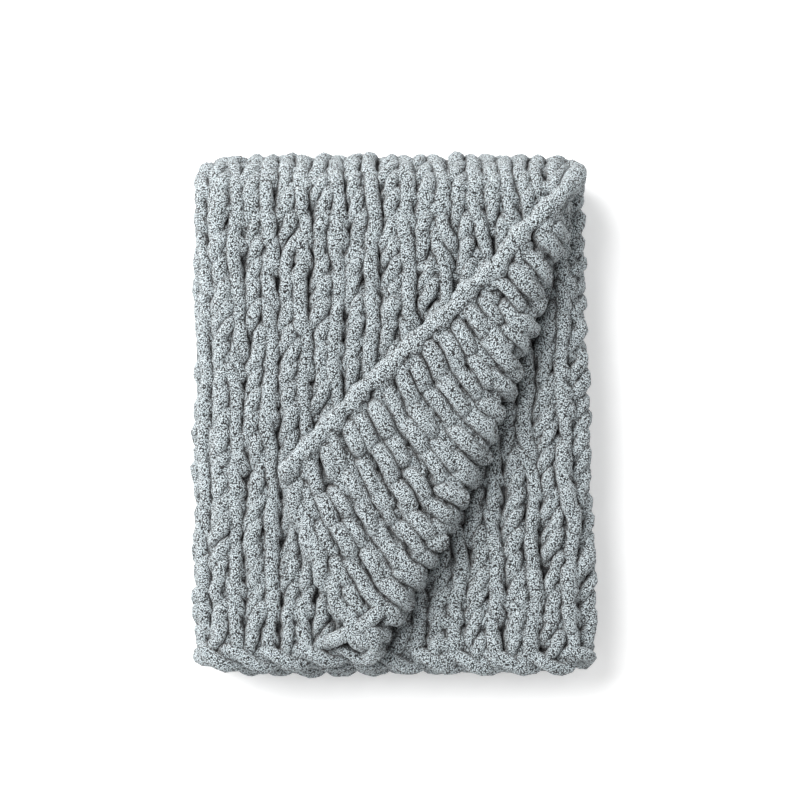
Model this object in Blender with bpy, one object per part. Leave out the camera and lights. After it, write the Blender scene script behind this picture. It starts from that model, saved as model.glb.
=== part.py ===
# A chunky chenille throw, knitted in one piece in stocking stitch. It is folded in thirds across its width, the
# strip is folded once more end to end, and one corner of the top layer is turned back over itself.
# The cloth is made flat first, as a slab with its ribs. Each of its points is then carried through the folds.
# Metres, +Z up. The origin is in the middle of the footprint, on the surface that the throw lies on.
import math
from collections import namedtuple

import bmesh
import bpy
import numpy as np

# The knitted cloth, laid flat: u runs across the ribs, v along them and w through the thickness
RIBS = 68  # two for each column of stitches, and one along each selvedge
INNER_RIB = 0.0235  # width where the inner third shows
TOP_RIB = 0.02135
ROWS = 49
END_BAND = 0.016  # between an end of the cloth and its nearest row
LENGTH = 1.27
THICKNESS = 0.027
RIB_DEPTH = 0.007  # of the grooves between the ribs of the knit side
RIDGE_DEPTH = 0.005  # of the grooves between the rows of the purl side
EDGE_DRAW = 0.005  # by which the purl side rounds in at the rim

# The stack: thirds from the floor up are bottom, inner and top, and a second set lies below them, upside down
LAYER_GAP = 0.002
PITCH = THICKNESS + LAYER_GAP
MIDDLE_HEIGHT = 2.5 * PITCH + THICKNESS / 2
INNER_EDGE_X = -0.200
LEFT_FOLD_X = -0.210
RIGHT_FOLD_X = 0.2135
TOP_EDGE_X = 0.238
END_FOLD_Y = 0.265
END_FOLD_REACH = 0.7  # how far the end fold bulges, as a share of its height
END_FOLD_LENGTH = 0.195  # of cloth that the top layer spends on the end fold
TOP_END_Y = -0.304
TOP_END_DROP = 0.015  # by which that end hangs lower beside the left fold
TOP_END_DROP_WIDTH = 0.180
TOP_END_BOW = 0.014  # by which it bows out along the turned-back corner
TOP_END_BOW_WIDTH = 0.250
INNER_END_Y = -0.317
BOTTOM_END_Y = -0.318
LOWER_END_Y = -0.323

# The turned-back corner of the top layer
CORNER_START = np.array((0.209, 0.312))
CORNER_ANGLE = math.radians(23.3)  # of the crease, from the ribs
CORNER_RADIUS = PITCH / 2
CORNER_SQUEEZE = 0.865  # the loose knit draws in across the crease
CREST_STRETCH = 0.010  # but is stretched next to it
CREST_WIDTH = 0.030
CORNER_SLIP = 0.349  # and slides along it, most at the crease's lower end
CREASE_LENGTH = 0.663
CREASE_BULGE = 0.026
BULGE_WIDTH = 0.150

# How the soft stack has settled
OPEN_END_SAG = 0.06  # share of its height that the open end has lost
RIGHT_LEAN = 0.030
FOLD_ROUNDING = 0.009  # by which the ends of the side folds draw back
TIP_ROUNDING = 0.012  # by which the cloth's own corners do
TIP_WIDTH = 0.055
END_WAVE = 0.003
END_WAVE_WIDTH = 0.071
FOOTPRINT_MIDDLE = (-0.0012, -0.0004)

# How finely the solid follows the shape
STEPS_PER_RIB = 3
END_FOLD_STEPS = 7
CREASE_STEPS = 4
PURL_COLUMN = 0.063
RIM = 0.012  # width of the rounded rim
SLIVER = 0.001  # corners nearer than this are joined
TOUCH = 1e-6

YARN_COLOUR = (0.33, 0.37, 0.39, 1.0)

Stretch = namedtuple("Stretch", "name length radius")  # a radius of 0 lies flat
WIDTH_STRETCHES = (
    Stretch("inner third", RIGHT_FOLD_X - INNER_EDGE_X, 0.0),
    Stretch("right fold", math.pi * PITCH / 2, PITCH / 2),
    Stretch("bottom third", RIGHT_FOLD_X - LEFT_FOLD_X, 0.0),
    Stretch("left fold", math.pi * PITCH, PITCH),
    Stretch("top third", TOP_EDGE_X - LEFT_FOLD_X, 0.0),
)
WIDTH = sum(stretch.length for stretch in WIDTH_STRETCHES)
TOP_THIRD_U = WIDTH - WIDTH_STRETCHES[-1].length
ROW_PITCH = (LENGTH - 2 * END_BAND) / ROWS

# The ribs are stretched differently on each layer: how many lie up to each of these places
RIB_PLACES = (0.0, WIDTH_STRETCHES[0].length, TOP_THIRD_U, WIDTH)
RIB_COUNTS = (
    0.0,
    WIDTH_STRETCHES[0].length / INNER_RIB,
    RIBS - WIDTH_STRETCHES[-1].length / TOP_RIB,
    RIBS,
)

TOP_PATH = (END_FOLD_Y - TOP_END_Y) + END_FOLD_LENGTH + (END_FOLD_Y - LOWER_END_Y)
TOP_EASE = TOP_PATH / LENGTH  # how much the top layer is stretched to cover the others
FOLD_START_V = (END_FOLD_Y - TOP_END_Y) / TOP_EASE
FOLD_END_V = FOLD_START_V + END_FOLD_LENGTH / TOP_EASE

CREASE = np.array((-math.sin(CORNER_ANGLE), -math.cos(CORNER_ANGLE)))
ACROSS_CREASE = np.array((math.cos(CORNER_ANGLE), -math.sin(CORNER_ANGLE)))


def smooth_step(t):
    t = np.clip(t, 0.0, 1.0)
    return t * t * (3.0 - 2.0 * t)


# Where the cloth's middle lies in the folded section, and the way that its knit side faces there
def across_the_width(u):
    x = np.zeros_like(u)
    height = np.zeros_like(u)
    facing = np.zeros_like(u)
    start, start_x, start_height, heading = 0.0, INNER_EDGE_X, 1.5 * PITCH, 0.0
    for stretch in WIDTH_STRETCHES:
        run = u - start
        here = run >= 0.0
        turn = run / stretch.radius if stretch.radius else np.zeros_like(u)
        end_turn = stretch.length / stretch.radius if stretch.radius else 0.0
        run_x = run * math.cos(heading)
        run_height = run * math.sin(heading)
        end_x = stretch.length * math.cos(heading)
        end_height = stretch.length * math.sin(heading)
        if stretch.radius:
            run_x = stretch.radius * (math.sin(heading) - np.sin(heading - turn))
            run_height = stretch.radius * (np.cos(heading - turn) - math.cos(heading))
            end_x = stretch.radius * (math.sin(heading) - math.sin(heading - end_turn))
            end_height = stretch.radius * (math.cos(heading - end_turn) - math.cos(heading))
        x[here] = (start_x + run_x)[here]
        height[here] = (start_height + run_height)[here]
        facing[here] = (heading - turn)[here]
        start += stretch.length
        start_x += end_x
        start_height += end_height
        heading -= end_turn
    return x, height, -np.sin(facing), np.cos(facing)


# How far along the end-to-end fold a point lies, in y as if the strip were straight
def along_the_length(v, u, height):
    layers = np.array((0.5, 1.5, 2.5)) * PITCH
    upper_end = np.interp(height, layers, (BOTTOM_END_Y, INNER_END_Y, TOP_END_Y))
    drop = TOP_END_DROP * (1.0 - smooth_step((u - TOP_THIRD_U) / TOP_END_DROP_WIDTH))
    tip = smooth_step(1.0 - np.minimum(u, WIDTH - u) / TIP_WIDTH)
    rounding = FOLD_ROUNDING * side_fold_share(u) + TIP_ROUNDING * tip + END_WAVE * np.sin(u / END_WAVE_WIDTH)
    bow = TOP_END_BOW * np.sin(math.pi * np.clip(1.0 - (WIDTH - u) / TOP_END_BOW_WIDTH, 0.0, 1.0))
    upper_end = upper_end + rounding - (drop + bow) * np.clip(height / PITCH - 1.5, 0.0, 1.0)
    lower_run = END_FOLD_Y - LOWER_END_Y - rounding
    upper = upper_end + (END_FOLD_Y - upper_end) * v / FOLD_START_V
    fold = END_FOLD_Y + (v - FOLD_START_V) * TOP_EASE
    lower_share = (v - FOLD_END_V) / (LENGTH - FOLD_END_V)
    lower = END_FOLD_Y + END_FOLD_LENGTH + lower_run * lower_share
    return np.where(v < FOLD_START_V, upper, np.where(v < FOLD_END_V, fold, lower))


# 1 in the middle of a side fold, 0 away from it
def side_fold_share(u):
    share = np.zeros_like(u)
    start = 0.0
    for stretch in WIDTH_STRETCHES:
        if stretch.radius:
            middle = start + stretch.length / 2
            share += 1.0 - smooth_step(np.abs(u - middle) / stretch.length)
        start += stretch.length
    return share


# Distance past the crease, and along it
def crease_places(x, path):
    from_start = np.stack((x, path), axis=-1) - CORNER_START
    return from_start @ ACROSS_CREASE, from_start @ CREASE


# The corner of the top layer rolls up over the crease and lies back on the same layer
def turn_back(x, path, height):
    past, down = crease_places(x, path)
    turn = np.clip(past / CORNER_RADIUS, 0.0, math.pi)
    beyond = np.maximum(past - math.pi * CORNER_RADIUS, 0.0)
    slip = CORNER_SLIP * np.clip(down / CREASE_LENGTH, 0.0, 1.0)
    squeeze = CORNER_SQUEEZE * (1.0 - slip * math.tan(CORNER_ANGLE))
    stretched = beyond + CREST_STRETCH * (1.0 - np.exp(-beyond / CREST_WIDTH))
    reach = np.where(past < 0.0, past, CORNER_RADIUS * np.sin(turn)) - squeeze * stretched
    down = down - slip * beyond
    bulge = CREASE_BULGE * np.sin(math.pi * np.clip(down / CREASE_LENGTH, 0.0, 1.0))
    reach = reach + bulge * smooth_step(1.0 + reach / BULGE_WIDTH)
    place = CORNER_START + reach[:, None] * ACROSS_CREASE + down[:, None] * CREASE
    raised = height + CORNER_RADIUS * (1.0 - np.cos(turn))
    return place[:, 0], place[:, 1], raised, turn


# The whole strip turns down and under at the end fold
def fold_end(path, height):
    turn = math.pi * np.clip((path - END_FOLD_Y) / END_FOLD_LENGTH, 0.0, 1.0)
    before = np.minimum(path - END_FOLD_Y, 0.0)
    after = np.maximum(path - END_FOLD_Y - END_FOLD_LENGTH, 0.0)
    y = END_FOLD_Y + before - after + END_FOLD_REACH * height * np.sin(turn)
    return y, MIDDLE_HEIGHT + height * np.cos(turn)


# The open end sags a little, and the right side leans out towards it
def settle(x, y, z):
    from_fold = (END_FOLD_Y - y) / (END_FOLD_Y - LOWER_END_Y)
    across = (x - LEFT_FOLD_X) / (RIGHT_FOLD_X - LEFT_FOLD_X)
    x = x - RIGHT_LEAN * y * across - FOOTPRINT_MIDDLE[0]
    return x, y - FOOTPRINT_MIDDLE[1], z * (1.0 - OPEN_END_SAG * from_fold)


def folded(u, v, w):
    x, height, facing_x, facing_up = across_the_width(u)
    path = along_the_length(v, u, height)
    turned_x, turned_path, raised, turn = turn_back(x, path, height)
    top = u > TOP_THIRD_U
    turn = np.where(top, turn, 0.0)
    x = np.where(top, turned_x, x) + w * facing_x - w * np.sin(turn) * ACROSS_CREASE[0]
    path = np.where(top, turned_path, path) - w * np.sin(turn) * ACROSS_CREASE[1]
    height = np.where(top, raised, height) + w * facing_up * np.cos(turn)
    y, z = fold_end(path, height)
    return np.stack(settle(x, y, z), axis=-1)


def on_knit_side(face):
    return face.normal.z > 0.5


def on_purl_side(face):
    return face.normal.z < -0.5


def on_end(face):
    return abs(face.normal.y) > 0.5


def on_selvedge(face):
    return abs(face.normal.x) > 0.5


# Cuts the faces that a test picks along a plane, so that they can bend or rise there
def cut(cloth, point, normal, picked):
    faces = [face for face in cloth.faces if picked(face)]
    edges = {edge for face in faces for edge in face.edges}
    corners = {corner for face in faces for corner in face.verts}
    geometry = faces + list(edges) + list(corners)
    bmesh.ops.bisect_plane(cloth, geom=geometry, dist=TOUCH, plane_co=point, plane_no=normal)


def anywhere(face):
    return True


def on_knit_side_or_end(face):
    return on_knit_side(face) or on_end(face)


def rib_cuts(cloth):
    start = 0.0
    for stretch in WIDTH_STRETCHES:
        end = start + stretch.length
        if end < WIDTH - TOUCH:
            cut(cloth, (end, 0, 0), (1, 0, 0), anywhere)
        picked = anywhere if stretch.radius else on_knit_side_or_end
        for step in range(1, RIBS * STEPS_PER_RIB):
            u = np.interp(step / STEPS_PER_RIB, RIB_COUNTS, RIB_PLACES)
            if start + TOUCH < u < end - TOUCH:
                cut(cloth, (u, 0, 0), (1, 0, 0), picked)
        start = end


def rim_cuts(cloth):
    for v in (RIM, LENGTH - RIM):
        cut(cloth, (0, v, 0), (0, 1, 0), anywhere)


def end_fold_cuts(cloth):
    for step in range(END_FOLD_STEPS + 1):
        v = FOLD_START_V + (FOLD_END_V - FOLD_START_V) * step / END_FOLD_STEPS
        cut(cloth, (0, v, 0), (0, 1, 0), anywhere)


# The crease of the turned-back corner crosses the top third alone
def in_top_third(face):
    return face.calc_center_median().x > TOP_THIRD_U


def slab_to_crease(point):
    x = np.array([point.x - TOP_THIRD_U + LEFT_FOLD_X])
    path = np.array([TOP_END_Y + point.y * TOP_EASE])
    return crease_places(x, path)[0][0]


def crease_cuts(cloth):
    normal = (ACROSS_CREASE[0], ACROSS_CREASE[1] * TOP_EASE, 0.0)
    for step in range(CREASE_STEPS + 1):
        past = math.pi * CORNER_RADIUS * step / CREASE_STEPS
        place = CORNER_START + past * ACROSS_CREASE
        point = (place[0] - LEFT_FOLD_X + TOP_THIRD_U, (place[1] - TOP_END_Y) / TOP_EASE, 0.0)
        cut(cloth, point, normal, in_top_third)


def on_purl_side_of_top_third(face):
    return on_purl_side(face) and in_top_third(face)


# The turned-back corner shows the rows of the purl side as ridges
def shows_rows(face):
    centre = face.calc_center_median()
    shown = on_purl_side(face) or (on_selvedge(face) and centre.x > TOP_THIRD_U)
    return shown and centre.x > TOP_THIRD_U and slab_to_crease(centre) > 0.0


def row_cuts(cloth):
    u = TOP_THIRD_U + PURL_COLUMN
    while u < WIDTH - TOUCH:
        cut(cloth, (u, 0, 0), (1, 0, 0), on_purl_side_of_top_third)
        u += PURL_COLUMN
    for half_row in range(2 * ROWS):
        v = END_BAND + half_row * ROW_PITCH / 2
        if v < FOLD_END_V:
            cut(cloth, (0, v, 0), (0, 1, 0), shows_rows)


# Raises the ribs and the rows out of the slab's two faces, and rounds its rim in
def relief(place):
    at_end = place.y < TOUCH or place.y > LENGTH - TOUCH
    at_selvedge = place.x < TOUCH or place.x > WIDTH - TOUCH
    if place.z > 0.0:
        share = np.interp(place.x, RIB_PLACES, RIB_COUNTS) % 1.0
        groove = max(0.0, 1.0 - min(share, 1.0 - share) * STEPS_PER_RIB)
        return THICKNESS / 2 - RIB_DEPTH * (1.0 if at_end else groove)
    if at_end or at_selvedge:
        return -THICKNESS / 2 + EDGE_DRAW
    turned = place.x > TOP_THIRD_U and slab_to_crease(place) > TOUCH
    share = (place.y - END_BAND) / ROW_PITCH % 1.0
    groove = 1.0 - 2.0 * min(share, 1.0 - share)
    return -THICKNESS / 2 + (RIDGE_DEPTH * groove if turned else 0.0)


def flat_cloth():
    cloth = bmesh.new()
    bmesh.ops.create_cube(cloth, size=1.0)
    bmesh.ops.translate(cloth, verts=cloth.verts, vec=(0.5, 0.5, 0.0))
    bmesh.ops.scale(cloth, verts=cloth.verts, vec=(WIDTH, LENGTH, THICKNESS))
    rib_cuts(cloth)
    rim_cuts(cloth)
    end_fold_cuts(cloth)
    crease_cuts(cloth)
    row_cuts(cloth)
    bmesh.ops.remove_doubles(cloth, verts=cloth.verts, dist=SLIVER)
    bmesh.ops.triangulate(cloth, faces=cloth.faces)
    for corner in cloth.verts:
        corner.co.z = relief(corner.co)
    return cloth


def yarn_material():
    material = bpy.data.materials.new("chenille yarn")
    material.use_nodes = True
    shader = material.node_tree.nodes["Principled BSDF"]
    shader.inputs["Base Color"].default_value = YARN_COLOUR
    shader.inputs["Roughness"].default_value = 0.95
    shader.inputs["Metallic"].default_value = 0.0
    return material


def make_blanket(collection):
    cloth = flat_cloth()
    flat = np.array([tuple(corner.co) for corner in cloth.verts])
    places = folded(flat[:, 0], flat[:, 1], flat[:, 2])
    for corner, place in zip(cloth.verts, places):
        corner.co = place
    mesh = bpy.data.meshes.new("blanket")
    cloth.to_mesh(mesh)
    cloth.free()
    mesh.materials.append(yarn_material())
    blanket = bpy.data.objects.new("blanket", mesh)
    collection.objects.link(blanket)


def main():
    for old in list(bpy.data.objects):
        bpy.data.objects.remove(old, do_unlink=True)
    throw = bpy.data.collections.new("folded knit throw")
    bpy.context.scene.collection.children.link(throw)
    make_blanket(throw)


main()
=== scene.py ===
# A chunky chenille throw, folded, with one corner of its top layer turned back.
# The yarn is really knitted here: every stitch is a loop of the one strand, carried through the folds of the cloth.
import math

import bmesh
import bpy
import numpy as np
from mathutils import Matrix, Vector


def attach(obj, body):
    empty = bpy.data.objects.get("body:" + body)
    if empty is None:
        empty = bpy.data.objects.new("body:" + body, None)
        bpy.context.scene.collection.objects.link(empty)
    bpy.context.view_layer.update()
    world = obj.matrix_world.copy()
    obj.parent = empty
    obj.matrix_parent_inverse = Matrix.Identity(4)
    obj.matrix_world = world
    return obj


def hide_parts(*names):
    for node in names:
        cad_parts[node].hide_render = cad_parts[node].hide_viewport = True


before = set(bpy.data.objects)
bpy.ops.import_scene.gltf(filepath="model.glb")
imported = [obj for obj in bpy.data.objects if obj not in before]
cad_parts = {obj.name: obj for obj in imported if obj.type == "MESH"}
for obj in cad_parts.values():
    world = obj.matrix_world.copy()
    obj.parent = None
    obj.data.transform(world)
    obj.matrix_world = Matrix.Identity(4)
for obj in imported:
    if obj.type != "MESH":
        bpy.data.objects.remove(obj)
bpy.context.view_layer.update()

rng = np.random.default_rng(7)


def report(stage):
    print("throw:", stage, flush=True)


# The folded stack, in metres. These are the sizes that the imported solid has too.
stack = {
    "length": 1.27, "thickness": 0.027, "pitch": 0.029,
    "innerEdgeX": -0.200, "leftFoldX": -0.210, "rightFoldX": 0.2135, "topEdgeX": 0.238,
    "endFoldY": 0.265, "endFoldReach": 0.7, "endFoldLength": 0.195,
    "topEndY": -0.304, "topEndDrop": 0.015, "topEndDropWidth": 0.180, "topEndBow": 0.014, "topEndBowWidth": 0.250,
    "innerEndY": -0.317, "bottomEndY": -0.318, "lowerEndY": -0.323,
    "openEndSag": 0.06, "rightLean": 0.030, "endWave": 0.003, "endWaveWidth": 0.071,
    "foldRounding": 0.009, "tipRounding": 0.012, "tipWidth": 0.055,
    "middle": (-0.0012, -0.0004),
}
# The corner that is turned back: where its crease starts, how it runs and how the loose knit gives across it
corner = {
    "start": (0.209, 0.312), "angle": math.radians(23.3), "squeeze": 0.865, "slip": 0.349,
    "crestStretch": 0.010, "crestWidth": 0.030, "creaseLength": 0.663, "bulge": 0.026, "bulgeWidth": 0.150,
}
pitch = stack["pitch"]
middleHeight = 2.5 * pitch + stack["thickness"] / 2
cornerRadius = pitch / 2
crease = np.array((-math.sin(corner["angle"]), -math.cos(corner["angle"])))
acrossCrease = np.array((math.cos(corner["angle"]), -math.sin(corner["angle"])))
stretches = (  # name, length, radius of the turn or 0 where the cloth lies flat
    ("inner third", stack["rightFoldX"] - stack["innerEdgeX"], 0.0),
    ("right fold", math.pi * pitch / 2, pitch / 2),
    ("bottom third", stack["rightFoldX"] - stack["leftFoldX"], 0.0),
    ("left fold", math.pi * pitch, pitch),
    ("top third", stack["topEdgeX"] - stack["leftFoldX"], 0.0),
)
clothWidth = sum(length for name, length, radius in stretches)
topThirdU = clothWidth - stretches[-1][1]


def smoothStep(t):
    t = np.clip(t, 0.0, 1.0)
    return t * t * (3.0 - 2.0 * t)


# Place in the folded section, and the way the knit side faces there
def acrossTheWidth(u):
    x, height, facing = np.zeros_like(u), np.zeros_like(u), np.zeros_like(u)
    start, startX, startHeight, heading = 0.0, stack["innerEdgeX"], 1.5 * pitch, 0.0
    for name, length, radius in stretches:
        run = u - start
        here = (run >= 0.0) | (start == 0.0)
        if radius:
            turn = run / radius
            runX = radius * (math.sin(heading) - np.sin(heading - turn))
            runHeight = radius * (np.cos(heading - turn) - math.cos(heading))
            endX = radius * (math.sin(heading) - math.sin(heading - math.pi))
            endHeight = radius * (math.cos(heading - math.pi) - math.cos(heading))
        else:
            turn = np.zeros_like(u)
            runX, runHeight = run * math.cos(heading), run * math.sin(heading)
            endX, endHeight = length * math.cos(heading), length * math.sin(heading)
        x[here] = (startX + runX)[here]
        height[here] = (startHeight + runHeight)[here]
        facing[here] = (heading - turn)[here]
        start, startX, startHeight = start + length, startX + endX, startHeight + endHeight
        heading -= math.pi if radius else 0.0
    return x, height, -np.sin(facing), np.cos(facing)


def sideFoldShare(u):
    share, start = np.zeros_like(u), 0.0
    for name, length, radius in stretches:
        if radius:
            share += 1.0 - smoothStep(np.abs(u - start - length / 2) / length)
        start += length
    return share


# Each layer spends its own length on the end fold, so its rows are a little longer or shorter than its neighbour's
def alongTheLength(v, u, height):
    layers = np.array((0.5, 1.5, 2.5)) * pitch
    ends = (stack["bottomEndY"], stack["innerEndY"], stack["topEndY"])
    tip = smoothStep(1.0 - np.minimum(u, clothWidth - u) / stack["tipWidth"])
    rounding = stack["foldRounding"] * sideFoldShare(u) + stack["tipRounding"] * tip
    rounding = rounding + stack["endWave"] * np.sin(u / stack["endWaveWidth"])
    drop = stack["topEndDrop"] * (1.0 - smoothStep((u - topThirdU) / stack["topEndDropWidth"]))
    alongBow = np.clip(1.0 - (clothWidth - u) / stack["topEndBowWidth"], 0.0, 1.0)
    drop = drop + stack["topEndBow"] * np.sin(math.pi * alongBow)
    upperEnd = np.interp(height, layers, ends) + rounding - drop * np.clip(height / pitch - 1.5, 0.0, 1.0)
    upperRun = stack["endFoldY"] - upperEnd
    foldRun = stack["endFoldLength"] * height / (2.5 * pitch)
    lowerRun = stack["endFoldY"] - stack["lowerEndY"] - rounding
    run = v / stack["length"] * (upperRun + foldRun + lowerRun)
    fold = stack["endFoldLength"] * (run - upperRun) / foldRun
    lower = stack["endFoldLength"] + (run - upperRun - foldRun)
    past = np.where(run < upperRun, run - upperRun, np.where(run < upperRun + foldRun, fold, lower))
    return stack["endFoldY"] + past


def turnBack(x, path, height):
    fromStart = np.stack((x, path), axis=-1) - np.array(corner["start"])
    past, down = fromStart @ acrossCrease, fromStart @ crease
    turn = np.clip(past / cornerRadius, 0.0, math.pi)
    beyond = np.maximum(past - math.pi * cornerRadius, 0.0)
    slip = corner["slip"] * np.clip(down / corner["creaseLength"], 0.0, 1.0)
    squeeze = corner["squeeze"] * (1.0 - slip * math.tan(corner["angle"]))
    stretched = beyond + corner["crestStretch"] * (1.0 - np.exp(-beyond / corner["crestWidth"]))
    reach = np.where(past < 0.0, past, cornerRadius * np.sin(turn)) - squeeze * stretched
    down = down - slip * beyond
    bulge = corner["bulge"] * np.sin(math.pi * np.clip(down / corner["creaseLength"], 0.0, 1.0))
    reach = reach + bulge * smoothStep(1.0 + reach / corner["bulgeWidth"])
    place = np.array(corner["start"]) + reach[:, None] * acrossCrease + down[:, None] * crease
    return place[:, 0], place[:, 1], height + cornerRadius * (1.0 - np.cos(turn)), turn


def foldEnd(path, height):
    fold, reach = stack["endFoldLength"], stack["endFoldReach"]
    past = path - stack["endFoldY"]
    turn = math.pi * np.clip(past / fold, 0.0, 1.0)
    y = stack["endFoldY"] + np.minimum(past, 0.0) - np.maximum(past - fold, 0.0)
    return y + reach * height * np.sin(turn), middleHeight + height * np.cos(turn)


def settle(x, y, z):
    fromFold = (stack["endFoldY"] - y) / (stack["endFoldY"] - stack["lowerEndY"])
    across = (x - stack["leftFoldX"]) / (stack["rightFoldX"] - stack["leftFoldX"])
    x = x - stack["rightLean"] * y * across - stack["middle"][0]
    return x, y - stack["middle"][1], z * (1.0 - stack["openEndSag"] * fromFold)


# Carries points of the flat cloth (u across the ribs, v along them, w out of the knit side) through all the folds
def foldedPlaces(u, v, w):
    x, height, facingX, facingUp = acrossTheWidth(u)
    path = alongTheLength(v, u, height)
    turnedX, turnedPath, raised, turn = turnBack(x, path, height)
    top = u > topThirdU
    turn = np.where(top, turn, 0.0)
    x = np.where(top, turnedX, x) + w * facingX - w * np.sin(turn) * acrossCrease[0]
    path = np.where(top, turnedPath, path) - w * np.sin(turn) * acrossCrease[1]
    height = np.where(top, raised, height) + w * facingUp * np.cos(turn)
    y, z = foldEnd(path, height)
    return np.stack(settle(x, y, z), axis=-1)


# The camera looks straight down, as in the photograph
view = {"middle": (0.0049, 0.0190), "distance": 4.0, "topHeight": 0.172, "width": 0.992, "sensor": 36.0}


def makeCamera():
    camera = bpy.data.objects.new("camera", bpy.data.cameras.new("camera"))
    camera.data.sensor_width = view["sensor"]
    camera.data.lens = view["sensor"] * view["distance"] / view["width"]
    camera.location = (*view["middle"], view["topHeight"] + view["distance"])
    bpy.context.collection.objects.link(camera)
    bpy.context.scene.camera = camera


# The strand and the stitch that it is knitted in, in metres
knit = {
    "ribs": 68, "innerRib": 0.0235, "topRib": 0.02135, "endBand": 0.016,  # as in the solid
    "stitches": 33, "rows": 49, "stepsPerStitch": 20, "sides": 3,
    "loopHeight": 0.95,  # from the middle of a stitch to its head, in rows
    "flatHead": 0.85,  # under 1 the heads of the loops are long and flat
    "sway": 0.100, "rightSway": 0.100,  # in stitches: the right leg of each stitch slants more
    "headSway": 0.44,  # by which the heads and the feet are longer still
    "slant": 0.10, "looseFoot": 0.12,  # of the feet, in rows
    "opening": 0.018,  # between the legs of a stitch
    "depth": 0.0062, "rightLift": 0.0008,  # the legs stand out of the knit side, heads and feet of the purl side
    "legTilt": -0.0008, "rightTilt": -0.0060, "headLift": 0.0042,
    "flatLoop": 0.55, "flatLeftLeg": 0.55,  # under 1 they keep their height over most of their length
    "yarnRadius": 0.0100,
    "legRadius": 0.94, "endRadius": 0.20,  # the legs crowd each other, and the heads and feet are fuller
    "loose": 0.0020, "looseRow": 0.0032, "looseDepth": 0.0022, "looseSway": 0.035, "looseRadius": 0.105,
    "ribWander": 0.0026, "ribWanderLength": 0.021,  # each rib sways by itself
    "margin": 0.0105,  # the end rows keep this far behind the edge chains
    "rowsPerPiece": 11,
}
rowHeight = (stack["length"] - 2 * knit["endBand"]) / knit["rows"]


# The ribs are stretched differently on each layer, and the first and the last of them are the selvedges
def ribToU(rib):
    inner, top = stretches[0][1], stretches[-1][1]
    counts = (0.0, inner / knit["innerRib"], knit["ribs"] - top / knit["topRib"], float(knit["ribs"]))
    return np.interp(rib, counts, (0.0, inner, topThirdU, clothWidth))


def rowToV(row):
    return knit["endBand"] + rowHeight * row


# Smooth random numbers along a row, with so many knots a stitch
def looseness(count, perStitch, size):
    knots = rng.normal(0.0, size, int(knit["stitches"] * perStitch) + 2)
    at = np.linspace(0.0, len(knots) - 1, count)
    return np.interp(at, np.arange(len(knots)), knots)


# Slow waves that run through the whole of the loose cloth and move it across the ribs and along them
drift = {
    "across": 0.00156, "along": 0.000936, "acrossPhase": 0.4, "alongPhase": 1.7,
    # two lengths, phase and share of each
    "waves": ((0.061, 0.083, 1.0, 1.0), (-0.118, 0.047, 2.1, 1.0), (0.033, 0.029, 3.7, 0.7)),
}


def waves(u, v, phase):
    return sum(share * np.sin(u / lengthU + v / lengthV + shift * phase)
               for lengthU, lengthV, shift, share in drift["waves"])


ribPhases = rng.uniform(0.0, 2 * math.pi, knit["ribs"])


# One row of loops, from the first selvedge to the last
def rowOfLoops(row):
    count = knit["stitches"] * knit["stepsPerStitch"] + 1
    t = np.linspace(0.0, 2 * math.pi * knit["stitches"], count)
    rightLeg = np.clip(-np.sin(t), 0.0, 1.0)
    sway = knit["sway"] + knit["rightSway"] * rightLeg + knit["headSway"] * np.cos(t) ** 4
    sway = sway + looseness(count, 2, knit["looseSway"])
    stitch = t / (2 * math.pi) + sway * np.sin(2 * t) - knit["opening"] * np.sin(t)
    u = ribToU(1 + 2 * stitch) + looseness(count, 2, knit["loose"])
    height = np.sign(np.cos(t)) * np.abs(np.cos(t)) ** knit["flatHead"]
    foot = np.clip(-np.cos(t), 0.0, 1.0)
    slant = knit["slant"] + looseness(count, 1, knit["looseFoot"])
    v = rowToV(row + 0.5 - knit["loopHeight"] * height + slant * foot * np.sin(t))
    v = v + looseness(count, 2, knit["looseRow"])
    v = np.clip(v, knit["margin"], stack["length"] - knit["margin"])
    u = u + knit["ribWander"] * np.sin(v / knit["ribWanderLength"] + ribPhases[np.round(2 * stitch).astype(int)])
    depth = knit["depth"] + knit["rightLift"] * rightLeg + looseness(count, 2, knit["looseDepth"])
    rise = -np.cos(2 * t)
    flat = np.where(rise < 0.0, knit["flatLoop"], knit["flatLeftLeg"] + (1.0 - knit["flatLeftLeg"]) * rightLeg)
    w = depth * np.sign(rise) * np.abs(rise) ** flat
    w = w + (knit["legTilt"] + knit["rightTilt"] * rightLeg ** 2) * np.cos(t) + knit["headLift"] * np.cos(t) ** 3
    radius = knit["legRadius"] + knit["endRadius"] * np.cos(t) ** 4
    radius = radius + looseness(count, 6, knit["looseRadius"])
    driftU = drift["across"] * waves(u, v, drift["acrossPhase"])
    driftV = drift["along"] * waves(v, u, drift["alongPhase"])
    return np.stack((u + driftU, v + driftV, w, radius))


# At the end of a row the strand runs up the selvedge for two rows, so that its turns make one smooth edge
selvedge = {
    "rows": (-0.45, -0.62, -0.35, 0.20, 0.75, 1.25, 1.28, 0.95),
    "inward": (0.0200, 0.0130, 0.0100, 0.0095, 0.0095, 0.0105, 0.0160, 0.0220),
    "out": (-0.0060, -0.0090, -0.0105, -0.0110, -0.0110, -0.0100, -0.0080, -0.0060),
    "radius": (1.05, 1.18, 1.48, 1.06, 1.10, 1.46, 1.18, 1.02),
    "loose": 0.0012, "looseRadius": 0.07, "stepsPerSpan": 3,
}


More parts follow.
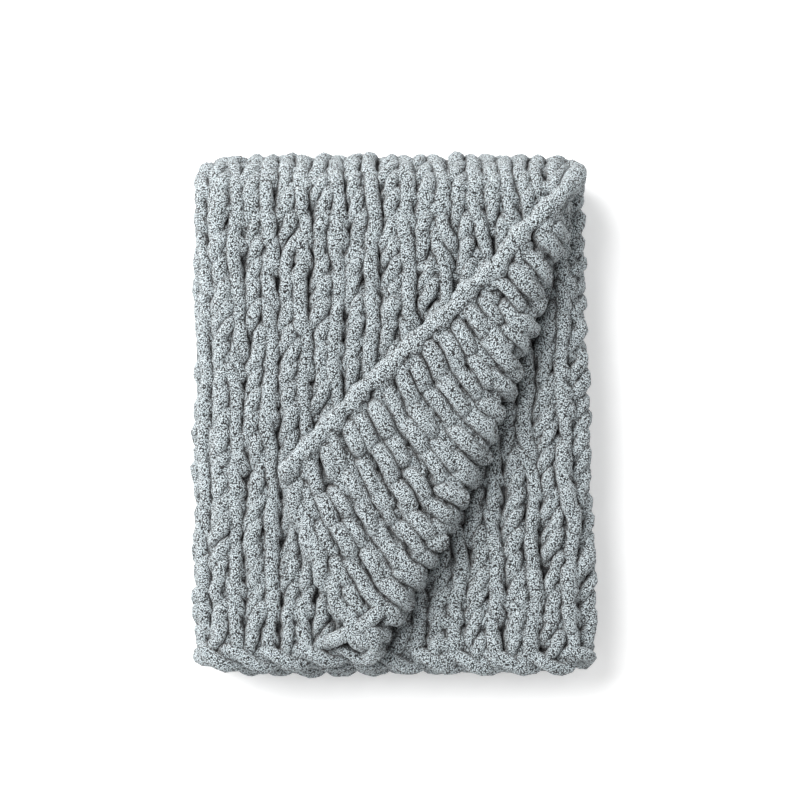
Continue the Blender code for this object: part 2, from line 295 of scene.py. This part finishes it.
def selvedgeTurn(row, right):
    side, inward = (clothWidth, -1.0) if right else (0.0, 1.0)
    u = side + inward * np.array(selvedge["inward"])
    v = rowToV(np.array(selvedge["rows"]) + row)
    u = u + rng.normal(0.0, selvedge["loose"], len(u))
    radius = np.array(selvedge["radius"]) + rng.normal(0.0, selvedge["looseRadius"], len(u))
    return smoothRoute(np.stack((u, v, np.array(selvedge["out"]), radius)), selvedge["stepsPerSpan"])


# Points between given ones, on a curve that passes through all of them
def smoothRoute(points, perSpan):
    padded = np.concatenate((points[:, :1], points, points[:, -1:]), axis=1)
    spans = []
    for place in range(points.shape[1] - 1):
        before, start, end, after = (padded[:, place + step, None] for step in range(4))
        t = np.arange(perSpan) / perSpan
        spans.append(0.5 * (2 * start + (end - before) * t + (2 * before - 5 * start + 4 * end - after) * t ** 2
                            + (3 * start - before - 3 * end + after) * t ** 3))
    return np.concatenate(spans + [points[:, -1:]], axis=1)


def rowsOfYarn(first, last):
    runs = []
    for row in range(first, last):
        loops = rowOfLoops(row)
        right = row % 2 == 0
        runs.append(loops if right else loops[:, ::-1])
        if row < knit["rows"] - 1:
            runs.append(selvedgeTurn(row, right))
    return np.concatenate(runs, axis=1)


# The edge along an end of the cloth: two plies twisted round each other, half a turn for each stitch
edge = {
    "place": 0.0100, "across": 0.0092, "over": 0.0075, "lift": 0.0015, "radius": 0.95,
    "past": 0.3,  # in stitches, beyond the first and the last of them
    "loose": 0.001, "looseRadius": 0.04, "stepsPerStitch": 14,
}


def edgeChain(v, ply):
    count = knit["stitches"] * edge["stepsPerStitch"]
    stitch = np.linspace(-edge["past"], knit["stitches"] + edge["past"], count)
    turn = math.pi * (stitch + ply)
    across = edge["across"] * np.cos(turn) + looseness(count, 1, edge["loose"])
    w = edge["lift"] + edge["over"] * np.sin(turn)
    radius = edge["radius"] + looseness(count, 1, edge["looseRadius"])
    return np.stack((ribToU(1 + 2 * stitch), v + across, w, radius))


# Where the end of the strand is drawn through the turned-back corner: x, y, z and radius
cornerEnd = {
    "strand": ((-0.0860, -0.2850, 0.1500, 0.90), (-0.0800, -0.2800, 0.1660, 1.00), (-0.0640, -0.2715, 0.1760, 1.02),
               (-0.0450, -0.2610, 0.1850, 1.00), (-0.0270, -0.2480, 0.1880, 1.02), (-0.0150, -0.2330, 0.1820, 0.95)),
    "loop": ((-0.0420, -0.2560, 0.1740, 0.85), (-0.0330, -0.2640, 0.1850, 0.92), (-0.0260, -0.2800, 0.1830, 0.95),
             (-0.0290, -0.2950, 0.1700, 0.95), (-0.0400, -0.3010, 0.1560, 0.90)),
    "stepsPerSpan": 6,
}

# The pile is thicker and thinner along the strand
lumps = {"size": 0.011, "strength": 0.0046}


def makeYarn(name, route):
    return makeStrand(name, foldedPlaces(route[0], route[1], route[2]), route[3])


def makeStrand(name, places, radius):
    onFloor = knit["yarnRadius"] * radius + lumps["strength"] / 2
    places[:, 2] = np.maximum(places[:, 2], onFloor)  # the lowest layer is pressed flat
    curve = bpy.data.curves.new(name, "CURVE")
    curve.dimensions = "3D"
    curve.bevel_depth = knit["yarnRadius"]
    curve.bevel_resolution = knit["sides"]
    curve.use_fill_caps = True
    strand = curve.splines.new("POLY")
    strand.points.add(len(places) - 1)
    strand.points.foreach_set("co", np.hstack((places, np.ones((len(places), 1)))).ravel())
    strand.points.foreach_set("radius", radius)
    drawn = bpy.data.objects.new(name + " route", curve)
    bpy.context.collection.objects.link(drawn)
    mesh = bpy.data.meshes.new_from_object(drawn.evaluated_get(bpy.context.evaluated_depsgraph_get()))
    bpy.data.objects.remove(drawn)
    bpy.data.curves.remove(curve)
    welded = bmesh.new()
    welded.from_mesh(mesh)
    bmesh.ops.remove_doubles(welded, verts=welded.verts, dist=1e-5)
    welded.to_mesh(mesh)
    welded.free()
    mesh.shade_smooth()
    piece = bpy.data.objects.new(name, mesh)
    bpy.context.collection.objects.link(piece)
    return piece


def addLumps(piece, texture):
    lump = piece.modifiers.new("lumps", "DISPLACE")
    lump.texture = texture
    lump.texture_coords = "LOCAL"
    lump.strength = lumps["strength"]
    lump.mid_level = 0.5


def makeLumpTexture():
    texture = bpy.data.textures.new("pile lumps", "CLOUDS")
    texture.noise_scale = lumps["size"]
    texture.noise_depth = 1
    return texture


def hexColour(code):
    parts = [int(code[place:place + 2], 16) / 255.0 for place in (0, 2, 4)]
    return tuple(part / 12.92 if part <= 0.04045 else ((part + 0.055) / 1.055) ** 2.4 for part in parts) + (1.0,)


def addNode(tree, kind, settings=None, values=None, links=None):
    node = tree.nodes.new(kind)
    for key, value in (settings or {}).items():
        setattr(node, key, value)
    for key, value in (values or {}).items():
        node.inputs[key].default_value = value
    for key, source in (links or {}).items():
        tree.links.new(source, node.inputs[key])
    return node


chenille = {
    "tuft": 0.0018, "fluff": 0.0010, "fluffShare": 0.4,
    "pile": ((0.02, "dfe9ed"), (0.26, "adbabf"), (0.42, "060708")),  # from the tips of the tufts down to between them: the pile's tone varies, the near-white tips are partly painted highlight and the near black between the tufts is painted shade
    "bumpDepth": 0.0026,
    "paintedCreviceShade": "050607", "paintedShadeReach": 0.019, "paintedShadeRange": (0.32, 0.80),  # painted shade in the crevices between strands and layers, from black to clear
    "roughness": 0.95, "specular": 0.15, "sheen": 0.3, "sheenRoughness": 0.6,
}


# Brushed chenille: short cut pile in tight tufts, so it is matt. Light and shade are painted into its colour: painted
# highlight on the tips of the tufts, painted shade between the tufts and between the strands
def makeChenille():
    material = bpy.data.materials.new("brushed chenille pile with painted light and shade")
    material.use_nodes = True
    tree = material.node_tree
    shader = tree.nodes["Principled BSDF"]
    shader.inputs["Roughness"].default_value = chenille["roughness"]
    shader.inputs["Specular IOR Level"].default_value = chenille["specular"]
    shader.inputs["Sheen Weight"].default_value = chenille["sheen"]
    shader.inputs["Sheen Roughness"].default_value = chenille["sheenRoughness"]
    place = addNode(tree, "ShaderNodeTexCoord").outputs["Object"]
    fluff = addNode(tree, "ShaderNodeTexNoise", values={"Scale": 1.0 / chenille["fluff"], "Detail": 1.0},
                    links={"Vector": place})
    tufts = addNode(tree, "ShaderNodeTexVoronoi", {"feature": "F1"}, {"Scale": 1.0 / chenille["tuft"]},
                    {"Vector": place})
    down = addNode(tree, "ShaderNodeMath", {"operation": "MULTIPLY_ADD"}, {1: -chenille["fluffShare"]},
                   {0: fluff.outputs["Fac"], 2: tufts.outputs["Distance"]})
    # The pile's tone by tuft: lighter tips with a painted highlight, near black between the tufts with painted shade
    pile = addNode(tree, "ShaderNodeValToRGB", links={"Fac": down.outputs["Value"]})
    pile.color_ramp.elements.new(0.5)
    for stop, (position, colour) in zip(pile.color_ramp.elements, chenille["pile"]):
        stop.position = position
        stop.color = hexColour(colour)
    # Painted shade: ambient occlusion mixes the colour towards near black in the crevices between the strands and
    # between the layers
    paintedCreviceShade = addNode(tree, "ShaderNodeAmbientOcclusion", {"samples": 4, "only_local": False},
                      {"Distance": chenille["paintedShadeReach"]})
    black, clear = chenille["paintedShadeRange"]
    depth = addNode(tree, "ShaderNodeMapRange", values={"From Min": black, "From Max": clear},
                    links={"Value": paintedCreviceShade.outputs["AO"]})
    shaded = addNode(tree, "ShaderNodeMix", {"data_type": "RGBA"}, {6: hexColour(chenille["paintedCreviceShade"])},
                     {"Factor": depth.outputs["Result"], 7: pile.outputs["Color"]})
    tree.links.new(shaded.outputs[2], shader.inputs["Base Color"])
    bump = addNode(tree, "ShaderNodeBump", {"invert": True}, {"Strength": 1.0, "Distance": chenille["bumpDepth"]},
                   {"Height": down.outputs["Value"]})
    tree.links.new(bump.outputs["Normal"], shader.inputs["Normal"])
    return material


# A sheet through the middle of the cloth, deep between the strands. It closes the gaps between the stitches and
# stands in for the shade deep in them: it takes the pile with its painted crevice shade, so it shows near black there
inside = {"columns": 170, "steps": 100, "margin": 0.006, "depth": -0.002}


def makeGapShadeSheet():
    grid = bmesh.new()
    bmesh.ops.create_grid(grid, x_segments=inside["columns"], y_segments=inside["steps"], size=0.5)
    mesh = bpy.data.meshes.new("cloth gap shade sheet")
    grid.to_mesh(mesh)
    grid.free()
    flat = np.empty(len(mesh.vertices) * 3)
    mesh.vertices.foreach_get("co", flat)
    flat = flat.reshape(-1, 3) + 0.5
    u = inside["margin"] + flat[:, 0] * (clothWidth - 2 * inside["margin"])
    v = inside["margin"] + flat[:, 1] * (stack["length"] - 2 * inside["margin"])
    places = foldedPlaces(u, v, np.full_like(u, inside["depth"]))
    mesh.vertices.foreach_set("co", places.ravel())
    mesh.update()
    mesh.shade_smooth()
    piece = bpy.data.objects.new("cloth_gap_shade_sheet", mesh)
    bpy.context.collection.objects.link(piece)
    return piece


# A matt paper floor, bright enough to be white in the light that comes from all round
paperFloor = {"size": 6.0, "colour": "f7f7f7", "roughness": 0.9, "glow": 0.25}


def makeStage():
    floorMesh = bpy.data.meshes.new("floor")
    grid = bmesh.new()
    bmesh.ops.create_grid(grid, x_segments=1, y_segments=1, size=paperFloor["size"])
    grid.to_mesh(floorMesh)
    grid.free()
    floor = bpy.data.objects.new("floor", floorMesh)
    bpy.context.collection.objects.link(floor)
    paper = bpy.data.materials.new("white paper sweep")
    paper.use_nodes = True
    shader = paper.node_tree.nodes["Principled BSDF"]
    shader.inputs["Base Color"].default_value = hexColour(paperFloor["colour"])
    shader.inputs["Roughness"].default_value = paperFloor["roughness"]
    shader.inputs["Emission Color"].default_value = (1, 1, 1, 1)
    shader.inputs["Emission Strength"].default_value = paperFloor["glow"]
    floorMesh.materials.append(paper)


lights = {
    "key": {"place": (-1.5, 1.2, 3.0), "size": 2.6, "power": 205.0},
    "world": 0.62,
}


def makeLights():
    key = bpy.data.lights.new("key", "AREA")
    key.shape = "DISK"
    key.size = lights["key"]["size"]
    key.energy = lights["key"]["power"]
    lamp = bpy.data.objects.new("key", key)
    lamp.location = lights["key"]["place"]
    lamp.rotation_euler = Vector(lamp.location).to_track_quat("Z", "Y").to_euler()
    bpy.context.collection.objects.link(lamp)
    world = bpy.data.worlds.new("studio")
    world.use_nodes = True
    sky = world.node_tree.nodes["Background"]
    sky.inputs["Color"].default_value = (1, 1, 1, 1)
    sky.inputs["Strength"].default_value = lights["world"]
    bpy.context.scene.world = world


makeCamera()
makeStage()
makeLights()
bpy.context.scene.view_settings.view_transform = "Standard"
report("camera, floor and lights")

chenillePile = makeChenille()
lumpTexture = makeLumpTexture()
yarnPieces = []
for first in range(0, knit["rows"], knit["rowsPerPiece"]):
    last = min(first + knit["rowsPerPiece"], knit["rows"])
    yarnPieces.append(makeYarn(f"yarn_rows_{first + 1}_to_{last}", rowsOfYarn(first, last)))
    report(yarnPieces[-1].name)
for name, v in (("cast_on", edge["place"]), ("bound_off", stack["length"] - edge["place"])):
    for ply in (0, 1):
        yarnPieces.append(makeYarn(f"{name}_ply_{ply + 1}", edgeChain(v, ply)))
for part in ("strand", "loop"):
    path = smoothRoute(np.array(cornerEnd[part]).T, cornerEnd["stepsPerSpan"])
    yarnPieces.append(makeStrand(f"corner_{part}", path[:3].T, path[3]))
for piece in yarnPieces:
    addLumps(piece, lumpTexture)
    piece.data.materials.clear()
    piece.data.materials.append(chenillePile)
# The sheet in the middle of the cloth, which shows as painted shade in the gaps between the stitches
gapShadeSheet = makeGapShadeSheet()
gapShadeSheet.data.materials.append(chenillePile)
report("cloth")

for piece in yarnPieces + [gapShadeSheet]:
    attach(piece, "root")
    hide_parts("blanket")

triangles = sum(len(piece.data.loop_triangles) or 2 * len(piece.data.polygons) for piece in yarnPieces)
report(f"about {triangles} triangles of yarn")
